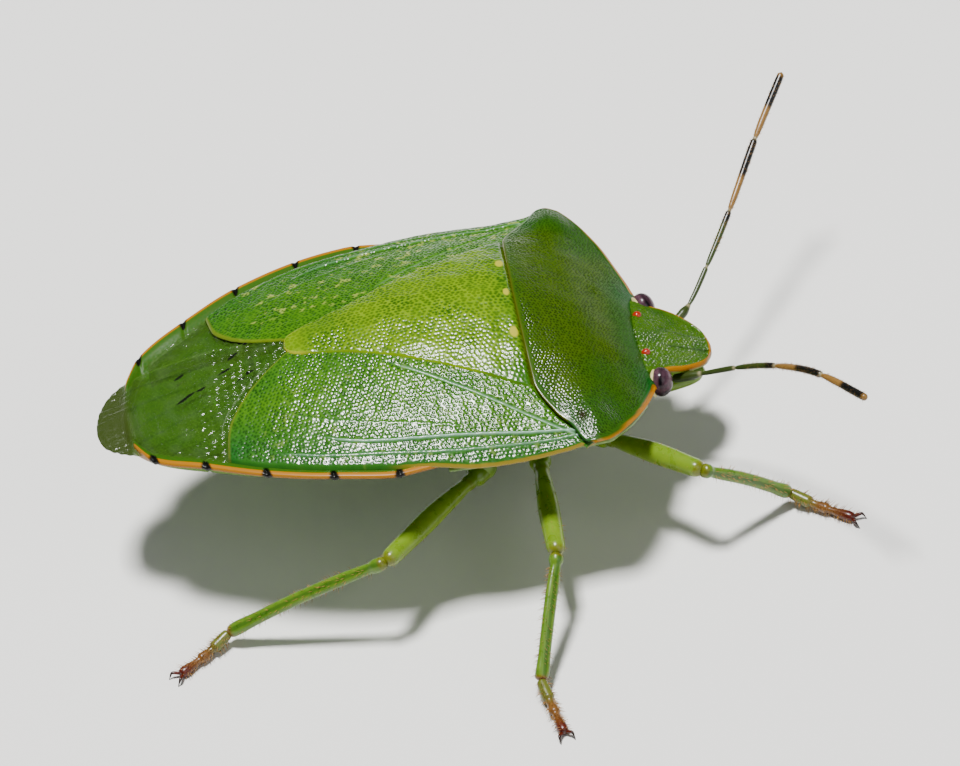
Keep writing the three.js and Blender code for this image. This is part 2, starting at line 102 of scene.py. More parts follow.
wing_half = profile([(-9.46, 2.85), (-9.3, 2.99), (-8.52, 3.43), (-6.79, 4.06), (-5.09, 4.42),
                     (-4.6, 4.53), (-3.9, 4.69), (-3.4, 4.79), (-3, 4.84), (-2.4, 4.85), (-1.4, 4.8),
                     (-0.3, 4.76), (0.1, 4.7)])
hind_margin = profile([(0, -1.2), (2.9, -1.16), (3.83, -0.75), (4.24, -0.42), (4.61, -0.25),
                       (4.78, -0.13), (4.87, 0.1)])


def back(x, y):
    """Height of the back: from its ridge down to the side edge."""
    edge = edge_height(x)
    across = np.minimum(1, np.abs(y) / half_width(x))
    shoulder = ((x - SHOULDER_AT[0]) ** 2 + (np.abs(y) - SHOULDER_AT[1]) ** 2) / SHOULDER_SPREAD**2
    return edge + (ridge_height(x) - edge) * (1 - across**CROWN_POWER) + SHOULDER_RISE * np.exp(-shoulder)


ARC_X = np.linspace(-12.9, 2.4, 600)
ARC_LENGTH = np.concatenate(([0], np.cumsum(np.hypot(np.diff(ARC_X), np.diff(ridge_height(ARC_X))))))


def along_back(x):
    """Length along the ridge of the back, so that a pattern isn't stretched where it falls steeply."""
    return np.interp(x, ARC_X, ARC_LENGTH)


def from_side(x, y):
    """Distance in from the body's side edge, square to it."""
    slope = (half_width(x + 0.01) - half_width(x - 0.01)) / 0.02
    return (half_width(x) - np.abs(y)) / np.hypot(1, slope)


def smooth(low, high, value):
    u = np.clip((value - low) / (high - low), 0, 1)
    return u * u * (3 - 2 * u)


def bump(value, centre, width):
    """A soft ridge of height 1 about a centre line."""
    return np.exp(-((value - centre) / width) ** 2)


def lerp(a, b, t):
    return a + (b - a) * t


def chance(a, b, seed):
    """A repeatable draw between 0 and 1 for each pair of whole numbers."""
    wave = np.sin(a * 127.1 + b * 311.7 + seed * 74.7) * 43758.5453
    return wave - np.floor(wave)


def pits(x, y, spacing, seed, inner=0.14, outer=0.44):
    """How deep each point lies in the nearest puncture (0 to 1): uneven rows of round pits."""
    across, along = x / spacing, y / (spacing * 0.87)
    row = np.floor(along)
    nearest = np.full(x.shape, 9.0)
    for step in (-1, 0, 1):
        this_row = row + step
        shift = 0.5 * np.mod(this_row, 2)
        column = np.floor(across - shift)
        for side in (-1, 0, 1):
            cell = column + side
            centre_x = cell + 0.5 + shift + 0.5 * (chance(cell, this_row, seed) - 0.5)
            centre_y = this_row + 0.5 + 0.5 * (chance(cell, this_row, seed + 1) - 0.5)
            size = 0.8 + 0.4 * chance(cell, this_row, seed + 2)
            distance = np.hypot(across - centre_x, (along - centre_y) * 0.87) / size
            nearest = np.minimum(nearest, distance)
    return 1 - smooth(inner, outer, nearest)


def wander(x, y, size, seed):
    """Slow uneven variation between about -1 and 1."""
    total = 0
    for i in range(5):
        turn = 2.4 * i + seed
        wave = (x * math.cos(turn) + y * math.sin(turn)) * (1 + 0.37 * i) / size
        total = total + np.sin(wave * 2.1 + seed * 1.7 * (i + 1))
    return total / 3.2


def rounding(distance, radius):
    """How far a rounded edge falls away at a distance in from its outline."""
    inside = np.clip(distance, 0, radius)
    return radius - np.sqrt(radius**2 - (radius - inside) ** 2)


# Finishes

def linear(code):
    """An sRGB hex colour as linear red, green, blue and alpha."""
    channels = [int(code[i:i + 2], 16) / 255 for i in (0, 2, 4)]
    return [c / 12.92 if c <= 0.04045 else ((c + 0.055) / 1.055) ** 2.4 for c in channels] + [1.0]


def add(tree, kind, settings=None, inputs=None):
    """Adds a node; a socket given as an input is linked, anything else is set."""
    node = tree.nodes.new(kind)
    for key, value in (settings or {}).items():
        setattr(node, key, value)
    for key, value in (inputs or {}).items():
        if isinstance(value, bpy.types.NodeSocket):
            tree.links.new(value, node.inputs[key])
        else:
            node.inputs[key].default_value = value
    return node


CHITIN_IOR = 1.56
DULL_GLOSS = 0.05
CLOSED_ALPHA = 0.92
FINE_GRAIN_MM = 0.07
SCATTER_MM = 0.3
# Shares of that depth for red, green and blue light
SCATTER_SHARES = (0.5, 0.9, 0.2)


def cuticle(name, ground, warm, layers, roughness, grain_mm=0.3, bump_mm=0.0, alpha=1.0, scatter=0.0,
            gloss=0.35, dense=None, dull=None):
    """Insect cuticle: a mottled ground colour, then layers that each follow a named mask of the mesh.

    Where the mask named by dense is 1 a clear skin closes; where the one named by dull is 1 the shine goes.
    """
    material = bpy.data.materials.new(name)
    material.use_nodes = True
    tree = material.node_tree
    shader = tree.nodes["Principled BSDF"]
    place = add(tree, "ShaderNodeTexCoord").outputs["Object"]
    mottle = add(tree, "ShaderNodeTexNoise", inputs={
        "Vector": place, "Scale": 1 / (grain_mm * MM), "Detail": 3.0, "Roughness": 0.6})
    spread = add(tree, "ShaderNodeMapRange", inputs={
        "Value": mottle.outputs["Fac"], "From Min": 0.35, "From Max": 0.65})
    colour = add(tree, "ShaderNodeMixRGB", inputs={
        "Fac": spread.outputs["Result"], "Color1": linear(ground), "Color2": linear(warm)}).outputs["Color"]
    for mask, code in layers:
        weight = add(tree, "ShaderNodeAttribute", {"attribute_name": mask}).outputs["Fac"]
        colour = add(tree, "ShaderNodeMixRGB", inputs={
            "Fac": weight, "Color1": colour, "Color2": linear(code)}).outputs["Color"]
    tree.links.new(colour, shader.inputs["Base Color"])
    uneven = add(tree, "ShaderNodeMapRange", inputs={
        "Value": mottle.outputs["Fac"], "To Min": roughness * 0.8, "To Max": roughness * 1.25})
    tree.links.new(uneven.outputs["Result"], shader.inputs["Roughness"])
    shader.inputs["IOR"].default_value = CHITIN_IOR
    shader.inputs["Specular IOR Level"].default_value = gloss
    if dull:
        weight = add(tree, "ShaderNodeAttribute", {"attribute_name": dull}).outputs["Fac"]
        level = add(tree, "ShaderNodeMapRange", inputs={
            "Value": weight, "To Min": gloss, "To Max": DULL_GLOSS})
        tree.links.new(level.outputs["Result"], shader.inputs["Specular IOR Level"])
    shader.inputs["Alpha"].default_value = alpha
    if dense:
        weight = add(tree, "ShaderNodeAttribute", {"attribute_name": dense}).outputs["Fac"]
        opacity = add(tree, "ShaderNodeMapRange", inputs={
            "Value": weight, "To Min": alpha, "To Max": CLOSED_ALPHA})
        tree.links.new(opacity.outputs["Result"], shader.inputs["Alpha"])
    if scatter:
        shader.inputs["Subsurface Weight"].default_value = scatter
        shader.inputs["Subsurface Radius"].default_value = SCATTER_SHARES
        shader.inputs["Subsurface Scale"].default_value = SCATTER_MM * MM
    if bump_mm:
        fine = add(tree, "ShaderNodeTexNoise", inputs={
            "Vector": place, "Scale": 1 / (FINE_GRAIN_MM * MM), "Detail": 2.0})
        relief = add(tree, "ShaderNodeBump", inputs={
            "Height": fine.outputs["Fac"], "Distance": bump_mm * MM, "Strength": 0.6})
        tree.links.new(relief.outputs["Normal"], shader.inputs["Normal"])
    return material


ORANGE = "945F00"
BLACK = "060604"
CREAM = "C4BA80"

# Hard chitin plates, pitted and waxed: dark green in the pits, lighter on the net between them
pronotum_cuticle = cuticle("cuticle_pronotum", "364E00", "2E4800", [
    ("shade", "0E4812"), ("pit", "0C1E00"), ("pale", "4E4608"), ("rim", ORANGE), ("mark", "1E1004")],
    roughness=0.2, dull="dull")
scutellum_cuticle = cuticle("cuticle_scutellum", "5A7C00", "688600", [
    ("shade", "305E06"), ("pit", "1E4402"), ("pale", "A8A024"), ("line", "3A3404")],
    roughness=0.2)
# The corium's pale layer is partly the veins' own pale, bluish colour and partly a painted highlight along
# them, stronger on the right wing
corium_cuticle = cuticle("cuticle_corium", "366408", "406E08", [
    ("shade", "125018"), ("pit", "0C3204"), ("fleck", "8C9A40"), ("pale", "86AE96"), ("rim", "9A7A24")],
    roughness=0.2, dull="dull")
# Thin clear wing skin, a few hundredths of a millimetre thick, so that the body shows through it
membrane_skin = cuticle("membrane_chitin", "3C6018", "46681C", [
    ("vein", "1C300C"), ("pale", "8A9A7A"), ("brown", "2E3C0E"), ("mark", BLACK)],
    roughness=0.16, grain_mm=0.6, alpha=0.42, bump_mm=0.012, gloss=0.5, dense="dense")
abdomen_cuticle = cuticle("cuticle_abdomen", "367414", "3E7C16", [
    ("shade", "30500E"), ("belly", "608028"), ("pit", "1E4E0A"), ("rim", ORANGE), ("mark", BLACK)],
    roughness=0.34, gloss=0.2, dull="dull")
thorax_cuticle = cuticle("cuticle_thorax", "587820", "648224", [("pit", "385A14")], roughness=0.32)
head_cuticle = cuticle("cuticle_head", "2E5204", "3A5A04", [
    ("shade", "224606"), ("pit", "143004"), ("belly", "587820"), ("rim", ORANGE)],
    roughness=0.15, bump_mm=0.012, gloss=0.5, dull="dull")
eye_cuticle = cuticle("cornea_facets", "5A3C48", "402A34", [("shade", "060306")],
                      roughness=0.22, grain_mm=0.1, bump_mm=0.012, gloss=0.25, dull="dull")
rim_cuticle = cuticle("cuticle_eye_rim", CREAM, "B4A86A", [], roughness=0.35)
ocellus_cuticle = cuticle("cornea_ocellus", "821200", "962000", [], roughness=0.08, gloss=0.6)
thigh_cuticle = cuticle("cuticle_thigh", "647E12", "728A1A", [
    ("shade", "466A10"), ("rust", "5A3810")],
    roughness=0.28, scatter=0.2, bump_mm=0.006)
shin_cuticle = cuticle("cuticle_shin", "466810", "567418", [
    ("shade", "284C10"), ("rust", "70360C")],
    roughness=0.28, scatter=0.15, bump_mm=0.006)
foot_cuticle = cuticle("cuticle_foot", "6E4A1E", "5C3A14", [
    ("shade", "50601C"), ("rust", "4A1406"), ("mark", "1C0A04")],
    roughness=0.3, bump_mm=0.005)
feeler_cuticle = cuticle("cuticle_feeler", "2E3C10", "28340E", [
    ("tan", "785828"), ("mark", BLACK), ("pale", "8C8464")],
    roughness=0.3, bump_mm=0.005)
bristle = cuticle("bristle_chitin", "B88A50", "A07438", [], roughness=0.4)
studio_floor = cuticle("studio_floor", "E9E8E4", "E6E5E1", [], roughness=0.6, grain_mm=30)


# Meshes

def piece(name, points, faces, material, nodes=(), masks=None):
    """A mesh piece from body points in millimetres, riding on the body and standing for its solids."""
    mesh = bpy.data.meshes.new(name)
    mesh.from_pydata(((points + BODY_AT) * MM).tolist(), [], faces)
    for mask, values in (masks or {}).items():
        layer = mesh.attributes.new(mask, "FLOAT", "POINT")
        layer.data.foreach_set("value", np.clip(values, 0, 1).astype(np.float32).ravel())
    mesh.materials.append(material)
    mesh.shade_smooth()
    thing = bpy.data.objects.new(name, mesh)
    bpy.context.scene.collection.objects.link(thing)
    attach(thing, "root")
    if nodes:
        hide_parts(*nodes)
    return thing


def grid_faces(rows, columns, offset=0, flip=False, closed=False):
    across = columns if closed else columns - 1
    i, j = np.meshgrid(np.arange(rows - 1), np.arange(across), indexing="ij")
    here = i * columns + j
    beside = i * columns + (j + 1) % columns
    quads = np.stack([here, beside, beside + columns, here + columns], -1).reshape(-1, 4) + offset
    return (quads[:, ::-1] if flip else quads).tolist()


def outline_ring(rows, columns):
    """Indices round a grid's outline, once."""
    first = np.arange(columns)
    right = np.arange(1, rows) * columns + columns - 1
    last = np.arange(columns - 2, -1, -1) + (rows - 1) * columns
    left = np.arange(rows - 2, 0, -1) * columns
    return np.concatenate([first, right, last, left])


# An edge that rolls under: outward, downward millimetres of each ring
ROLLED = ((0.006, 0.008), (0.002, 0.02), (-0.04, 0.035), (-0.3, 0.1))


def plate(name, plan, height, rows, columns, material, nodes, masks, rolled=ROLLED):
    """A thin plate: a fine upper surface over its plan, an edge rolled under, and a closed underside."""
    s, t = np.meshgrid(rows, columns, indexing="ij")
    x, y = plan(s, t)
    top = np.stack([x, y, height(x, y, s, t)], -1).reshape(-1, 3)
    ring = outline_ring(len(rows), len(columns))
    border = top[ring]
    along = np.roll(border, -1, 0) - np.roll(border, 1, 0)
    out = np.stack([along[:, 1], -along[:, 0], np.zeros(len(ring))], -1)
    out /= np.linalg.norm(out, axis=1)[:, None] + 1e-9
    area = np.sum(border[:, 0] * np.roll(border[:, 1], -1) - np.roll(border[:, 0], -1) * border[:, 1])
    out *= math.copysign(1, area)
    faces = grid_faces(len(rows), len(columns), flip=area < 0)
    points = [top]
    previous = ring
    start = len(top)
    count = len(ring)
    for outward, down in rolled:
        points.append(border + out * outward - np.array((0, 0, down)))
        current = start + np.arange(count)
        nxt = np.roll(np.arange(count), -1)
        wall = np.stack([previous, current, current[nxt], previous[nxt]], -1)
        faces += (wall if area > 0 else wall[:, ::-1]).tolist()
        previous = current
        start += count
    underside = tessellate_polygon([[Vector(p) for p in points[-1]]])
    faces += [tuple(int(previous[i]) for i in corner) for corner in underside]
    values = masks(x, y, s, t)
    edge_values = {key: np.concatenate([value.ravel()] + [value.ravel()[ring]] * len(rolled))
                   for key, value in values.items()}
    return piece(name, np.concatenate(points), faces, material, nodes, edge_values)


def cushion(name, plan, top, under, rows, columns, material, nodes, masks):
    """A closed body with a fine upper and lower surface that meet in a wall round its plan."""
    s, t = np.meshgrid(rows, columns, indexing="ij")
    x, y = plan(s, t)
    upper = np.stack([x, y, top(x, y, s, t)], -1).reshape(-1, 3)
    lower = np.stack([x, y, under(x, y, s, t)], -1).reshape(-1, 3)
    ring = outline_ring(len(rows), len(columns))
    border = upper[ring]
    area = np.sum(border[:, 0] * np.roll(border[:, 1], -1) - np.roll(border[:, 0], -1) * border[:, 1])
    flip = area < 0
    count = len(upper)
    faces = grid_faces(len(rows), len(columns), flip=flip)
    faces += grid_faces(len(rows), len(columns), count, not flip)
    nxt = np.roll(ring, -1)
    wall = np.stack([ring, ring + count, nxt + count, nxt], -1)
    faces += (wall[:, ::-1] if flip else wall).tolist()
    over, below = masks(x, y, s, t, True), masks(x, y, s, t, False)
    values = {key: np.concatenate([over[key].ravel(), below[key].ravel()]) for key in over}
    return piece(name, np.concatenate([upper, lower]), faces, material, nodes, values)


def spaced(length, step):
    return np.linspace(0, 1, max(4, int(round(length / step))))


# Pronotum: punctured shield with an orange side margin and a shoulder angle
PIT_STEP = 0.021
PRONOTUM_SPACING = 0.098
PRONOTUM_PIT_DEPTH = 0.02


def pronotum_plan(s, t):
    side = np.abs(t)
    hind_x = hind_margin(HUMERAL[1] * side)
    front_x = lerp(1.8, PRONOTUM_FRONT[0] + 0.06, side**2)
    margin_x = lerp(HUMERAL[0], PRONOTUM_FRONT[0], s)
    straight = lerp(HUMERAL[1], PRONOTUM_FRONT[1], s)
    bulge = (half_width(margin_x) - straight) * side**3
    return lerp(hind_x, front_x, s), np.sign(t) * (straight * side + bulge)


def pronotum_masks(x, y, s, t):
    side = np.abs(t)
    edge = from_side(x, y)
    smooth_band = smooth(0.05, 0.13, edge) * smooth(0.02, 0.05, s) * smooth(0.0, 0.03, 1 - s)
    mark = bump(np.hypot((x + 0.09) / 0.13, (y + 4.09) / 0.16), 0, 1)
    return {
        "pit": pits(along_back(x), y, PRONOTUM_SPACING, 3, 0.12, 0.42) * smooth_band
        * (0.85 + 0.15 * wander(x, y, 0.5, 2)) * (1 - 0.4 * smooth(0.85, 1.0, s)),
        "shade": smooth(0.5, 1.0, side + 0.2 * wander(x, y, 1.2, 5)) * 0.5 + 0.25 * bump(s, 0.0, 0.1)
        + 0.6 * smooth(0.7, 0.95, s),
        "rim": 1 - smooth(0.008, 0.03, edge - 0.025 * (y > 0)),
        "pale": 0.6 * bump(s, 0.0, 0.015) * (side < 0.85),
        "dull": smooth(0.25, 0.6, s + 0.35 * (y > 0) * side) + mark,
        "mark": 0.9 * mark,
    }


def pronotum_height(x, y, s, t):
    edge = np.maximum(0, from_side(x, y))
    hind = s * 2.6
    callus = 0.035 * bump(np.hypot((x - 1.15) / 0.3, (np.abs(y) - 1.15) / 0.55), 0, 1)
    humps = 0.008 * wander(x, y, 0.6, 1) + callus
    fall = rounding(edge, 0.05) + 0.6 * rounding(hind, 0.035) + 0.6 * rounding((1 - s) * 2.6, 0.08)
    lip = 0.012 * bump(edge, 0.04, 0.03) + 0.1 * smooth(0.75, 1.0, s)
    masks = pronotum_masks(x, y, s, t)
    return back(x, y) + 0.04 + humps + lip - fall - PRONOTUM_PIT_DEPTH * masks["pit"]


def evened(length, step):
    """Columns from -1 to 1, alike on both sides."""
    half = spaced(length / 2, step)
    return np.concatenate([-half[:0:-1], half])


plate("pronotum_shield", pronotum_plan, pronotum_height, spaced(3.9, PIT_STEP), evened(9.7, PIT_STEP),
      pronotum_cuticle, ["pronotum"], pronotum_masks)


# Scutellum: a wide net of pits, three pale spots at its base, a smooth pale tongue
def scutellum_plan(s, t):
    x = lerp(-1.08, SCUTELLUM_TIP_X, s)
    return x, t * scutellum_half(x)


# Pale spots at the base: centre and half sizes
SPOTS = ((-1.36, 0.0, 0.09, 0.15), (-1.38, 1.45, 0.12, 0.19), (-1.38, -1.4, 0.12, 0.19))
SCUTELLUM_SPACING = 0.128
SCUTELLUM_PIT_DEPTH = 0.013


def scutellum_masks(x, y, s, t):
    width = scutellum_half(x)
    edge = (1 - np.abs(t)) * width
    tongue = smooth(-6.6, -7.2, x)
    spots = sum(1 - smooth(0.7, 1.1, np.hypot((x - a) / c, (y - b) / d)) for a, b, c, d in SPOTS)
    net = pits(x, y * 1.05, SCUTELLUM_SPACING, 11, 0.2, 0.5) * smooth(0.03, 0.1, edge)
    return {
        "pit": net * (0.9 - 0.55 * tongue) * (1 - np.clip(spots, 0, 1))
        * (0.85 + 0.2 * wander(x, y, 0.7, 4)),
        "shade": smooth(0.55, 1.0, np.abs(y) / 3 + 0.25 * wander(x, y, 1.1, 8)) * 0.8
        + 0.5 * smooth(-1.9, -1.2, x) + 0.35 * smooth(-5.2, -6.4, x) * (1 - tongue),
        "pale": 0.9 * np.clip(spots, 0, 1) + 0.6 * tongue * (1 - smooth(0.03, 0.12, edge))
        + 0.12 * (1 - smooth(0.0, 0.05, edge)),
        "line": 0.6 * smooth(-1.28, -1.2, x),
    }


def scutellum_height(x, y, s, t):
    width = scutellum_half(x)
    edge = (1 - np.abs(t)) * width
    crown = 0.06 * (1 - t**2) * smooth(-7.4, -5.5, x)
    net = scutellum_masks(x, y, s, t)["pit"]
    fall = rounding(np.minimum(edge, (x - SCUTELLUM_TIP_X) * 0.8), 0.1)
    step = -0.1 * smooth(-1.32, -1.16, x)
    humps = 0.015 * wander(x, y, 0.5, 6)
    return back(x, y) + 0.01 + crown + step + humps - fall - SCUTELLUM_PIT_DEPTH * net


plate("scutellum_shield", scutellum_plan, scutellum_height, spaced(6.5, PIT_STEP), evened(5.2, PIT_STEP),
      scutellum_cuticle, ["scutellum"], scutellum_masks)


# Corium: the leathery part of each forewing, with its raised veins, pale flecks and the seam of the clavus
CORIUM_SPACING = 0.114
CORIUM_PIT_DEPTH = 0.015
CLAVUS = ((-0.9, 4.1), (-4.6, 1.7))
MAIN_VEIN = profile([(-7.2, 3.1), (-6.33, 3.55), (-5.42, 3.78), (-2.82, 4.08), (-0.4, 4.34)])
COSTAL_VEIN = profile([(-8.6, 3.2), (-6.8, 3.87), (-5.49, 4.12), (-3.15, 4.42), (-0.78, 4.5)])
MEDIAL_VEIN = profile([(-8.4, 1.9), (-6.5, 2.9), (-5.0, 3.35), (-2.82, 3.9)])


def spline(points):
    """Points along a smooth curve through a short list, at fractions of its length."""
    knots = np.array(points, float)
    lengths = np.concatenate(([0], np.cumsum(np.linalg.norm(np.diff(knots, axis=0), axis=1))))
    lengths /= lengths[-1]
    curves = [profile(list(zip(lengths, knots[:, axis]))) for axis in range(knots.shape[1])]
    return lambda t: [curve(t) for curve in curves]


corium_rear = spline([(-7.35, 0.2), (-7.75, 0.42), (-8.35, 0.8), (-8.95, 1.36), (-9.32, 2.0),
                      (-9.46, 2.85)])


# The right wing lies a little further out than the left, as in the photograph
RIGHT_SPREAD = 0.15


def corium_plan(sign):
    def plan(s, t):
        inner_x = lerp(-0.95, -7.35, s)
        inner_y = scutellum_half(inner_x) - 0.1
        outer_x = lerp(0.1, -9.46, s)
        outer_y = wing_half(outer_x) + RIGHT_SPREAD * (sign < 0) * smooth(-3.9, -5.5, outer_x)
        rear_x, rear_y = corium_rear(t)
        pull = s**3
        x = lerp(inner_x, outer_x, t) + (rear_x - lerp(-7.35, -9.46, t)) * pull
        y = lerp(inner_y, outer_y, t) + (rear_y - lerp(scutellum_half(-7.35) - 0.1, 2.85, t)) * pull
        return x, sign * y
    return plan


def vein_lines(x, y):
    """Ridge of the veins and groove of the clavus at each point of one wing."""
    side = np.abs(y)
    (x0, y0), (x1, y1) = CLAVUS
    tilt = math.hypot(x1 - x0, y1 - y0)
    off = ((x - x0) * (y1 - y0) - (side - y0) * (x1 - x0)) / tilt
    clavus = bump(off, 0, 0.045) * smooth(-5.0, -4.3, x)
    ridge = bump(side, MAIN_VEIN(x), 0.038) * smooth(-7.2, -6.2, x)
    medial = bump(side, MEDIAL_VEIN(x), 0.045) * smooth(-8.4, -7, x) * (1 - smooth(-3.4, -2.8, x))
    costal = 0.7 * bump(side, COSTAL_VEIN(x), 0.04) * smooth(-8.4, -7.4, x)
    return clavus, ridge + 0.25 * medial, costal


def corium_masks(x, y, s, t):
    side = np.abs(y)
    clavus, ridge, costal = vein_lines(x, y)
    edge = (1 - t) * 2.5
    rear = (1 - s) * 6.0
    lines = np.clip(clavus + ridge + costal, 0, 1)
    margin = smooth(0.03, 0.09, edge) * smooth(0.02, 0.05, rear)
    dots = pits(x, y, CORIUM_SPACING, 21, 0.16, 0.46) * margin * (1 - 0.85 * lines)
    column = np.floor(x / 0.3 + 0.3 * wander(x, y, 0.2, 3))
    flecks = smooth(0.62, 0.8, chance(column, np.floor(y / 0.16), 5))
    patches = smooth(0.1, 0.6, wander(x, y, 0.23, 9)) * smooth(-9.3, -8, x) * smooth(0.8, 1.6, side)
    flecks = flecks * np.where(y > 0, 1.3, 0.35) * patches
    return {
        "pit": dots * (0.85 + 0.2 * wander(x, y, 0.6, 12)),
        "shade": smooth(0.5, 1.0, t) * np.where(y > 0, 0.4, 0.7)
        + 0.25 * smooth(0.2, 0.8, wander(x, y, 1.6, 14)),
        "fleck": 0.6 * flecks * (1 - dots),
        "dull": 0.55 * (y > 0),
        # Pale veins: their own colour plus a painted highlight, full on the right wing and weaker on the
        # left
        "pale": np.where(y < 0, 1, 0.3) * (0.7 * costal**2 + 0.5 * clavus**2 + ridge**2),
        "rim": 0.7 * (1 - smooth(0.015, 0.035, edge)) * smooth(-5.5, -4.5, x)
        + 0.2 * (1 - smooth(0.02, 0.05, rear)),
    }


def corium_height(x, y, s, t):
    clavus, ridge, costal = vein_lines(x, y)
    edge = (1 - t) * 2.5
    rear = (1 - s) * 6.0
    masks = corium_masks(x, y, s, t)
    ripple = 0.008 * wander(x * 1.6, y, 0.4, 18)
    fall = rounding(edge, 0.09) + 0.7 * rounding(rear, 0.06)
    raised = 0.05 * ridge + 0.035 * costal - 0.045 * clavus
    tuck = 0.1 * smooth(0.1, -0.04, hind_margin(np.abs(y)) - x)
    overlap = 0.03 * (y < 0) * smooth(0.6, 1, t) * smooth(-3.9, -5.5, x)
    return back(x, y) - 0.03 + raised + ripple + overlap - fall - tuck - CORIUM_PIT_DEPTH * masks["pit"]


WING_EDGE = ((0.01, 0.015), (0.008, 0.04), (-0.05, 0.07), (-0.3, 0.1))
for side, sign in (("left", 1), ("right", -1)):
    plate(f"corium_{side}", corium_plan(sign), corium_height, spaced(8.6, PIT_STEP), spaced(2.9, PIT_STEP),
          corium_cuticle, [f"forewing_corium_{side}"], corium_masks, WING_EDGE)


# Membranes: thin, clear and wrinkled, with long veins that fan out to the tip
membrane_root = spline([(-9.2, -3.05), (-9.3, -2.1), (-8.75, -1.2), (-8.1, -0.65), (-7.5, -0.28),
                        (-7.2, 0.0), (-7.45, 0.32), (-7.9, 0.62)])
membrane_end = spline([(-9.7, -3.02), (-11.2, -2.02), (-12.0, -1.46), (-12.46, -1.12), (-12.75, -0.72),
                       (-12.84, -0.25), (-12.76, 0.35), (-12.52, 0.9), (-12.25, 1.2), (-11.9, 1.4)])
# Veins as shares of the way across; streaks as centre and half length
VEIN_FAN = (0.1, 0.24, 0.38, 0.5, 0.62, 0.74, 0.87)
STREAKS = ((-8.43, 0.82, 0.16), (-8.87, 0.48, 0.17), (-9.15, 0.01, 0.2), (-10.41, 0.57, 0.16),
           (-10.31, -0.37, 0.3), (-9.86, -0.28, 0.14), (-8.76, -0.54, 0.14), (-8.46, -0.41, 0.15))
STREAK_TILT = 0.32


def membrane_right_plan(s, t):
    x0, y0 = membrane_root(t)
    x1, y1 = membrane_end(t)
    return lerp(x0, x1, s), lerp(y0, y1, s) + 1.1 * s * (1 - s) * t**4


def streak_mask(x, y):
    total = 0
    y = y - 0.05
    for at_x, at_y, length in STREAKS:
        u = (x - at_x) + STREAK_TILT * (y - at_y)
        v = (y - at_y) - STREAK_TILT * (x - at_x)
        total = total + (1 - smooth(0.75, 1.15, np.hypot(u / (1.15 * length), v / 0.06)))
    return np.clip(total, 0, 1)


def fan(s, t, veins):
    return sum(bump(t + 0.012 * np.sin(9 * s + 40 * at), at, 0.008) for at in veins)


def border_vein(s, t):
    """The vein that runs beside the leathery part, painted pale: partly its own colour, partly a painted
    highlight.
    """
    line = bump(s, 0.13 - 0.08 * smooth(0.2, 0.6, t), 0.012)
    return line * smooth(0.15, 0.3, t) * (1 - smooth(0.6, 0.7, t))


def membrane_masks(veins):
    def masks(x, y, s, t):
        streaks, tip = streak_mask(x, y), smooth(-11.75, -12.05, x)
        return {
            "vein": 0.3 * fan(s, t, veins) + 0.4 * pits(x, y, 0.1, 61),
            # The border vein's pale is partly a painted highlight; the faint mottle is the skin's own
            "pale": 0.6 * border_vein(s, t) + 0.07 * smooth(-0.2, 0.9, wander(x, y, 0.4, 19)),
            "mark": streaks,
            "brown": tip,
            "dense": np.clip(streaks + tip, 0, 1),
        }
    return masks


def membrane_height(veins, drop):
    def height(x, y, s, t):
        folds = 0.016 * np.sin(t * 95 + 2 * wander(x, y, 0.5, 3)) * smooth(-11.6, -9.2, x)
        crinkle = 0.021 * wander(x, y * 1.6, 0.11, 7) * (0.3 + smooth(-10.6, -8.6, x))
        striae = 0.012 * np.sin(t * 150) * smooth(-11.6, -12.1, x)
        raised = 0.02 * fan(s, t, veins) + 0.025 * border_vein(s, t)
        return back(x, y) - drop + raised + folds + crinkle + striae
    return height


THIN_EDGE = ((0.008, 0.012), (0.0, 0.03), (-0.05, 0.035))
RIGHT_DROP = 0.1
LEFT_DROP = 0.17
plate("membrane_right", membrane_right_plan, membrane_height(VEIN_FAN, RIGHT_DROP), spaced(5.0, 0.028),
      spaced(5.4, 0.028), membrane_skin, ["forewing_membrane_right"],
      membrane_masks(VEIN_FAN), THIN_EDGE)

strip_inner = spline([(-7.5, 0.1), (-8.6, 0.5), (-9.8, 0.9), (-11.2, 1.0)])
strip_outer = spline([(-7.6, 0.3), (-8.75, 1.25), (-9.3, 2.3), (-9.4, 3.0), (-10.2, 2.6), (-11.2, 1.9)])
STRIP_FAN = (0.3, 0.5, 0.7, 0.88)


def membrane_left_plan(s, t):
    x0, y0 = strip_inner(s)
    x1, y1 = strip_outer(s)
    return lerp(x0, x1, t), lerp(y0, y1, t)


plate("membrane_left", membrane_left_plan, membrane_height(STRIP_FAN, LEFT_DROP), spaced(4.4, 0.035),
      spaced(2.0, 0.035), membrane_skin, ["forewing_membrane_left"],
      membrane_masks(STRIP_FAN), THIN_EDGE)


# Abdomen: green above, pale below in rings, with an orange rim marked black at each ring's end
RIM = 0.14
# How far the rim draws in under the wings at its front end, and how deep the abdomen lies under them
RIM_TUCK = 0.25
BED_DEPTH = 0.32


def abdomen_plan(s, t):
    x = lerp(WAIST_X, APEX_X, s)
    return x, t * (half_width(x) - RIM_TUCK * smooth(-5.4, -3.8, x))


def ring_ends(x):
    return sum(bump(x, at, 0.05) for at in SEGMENT_ENDS)


def rim_fade(x):
    return smooth(-12.1, -11.85, x)


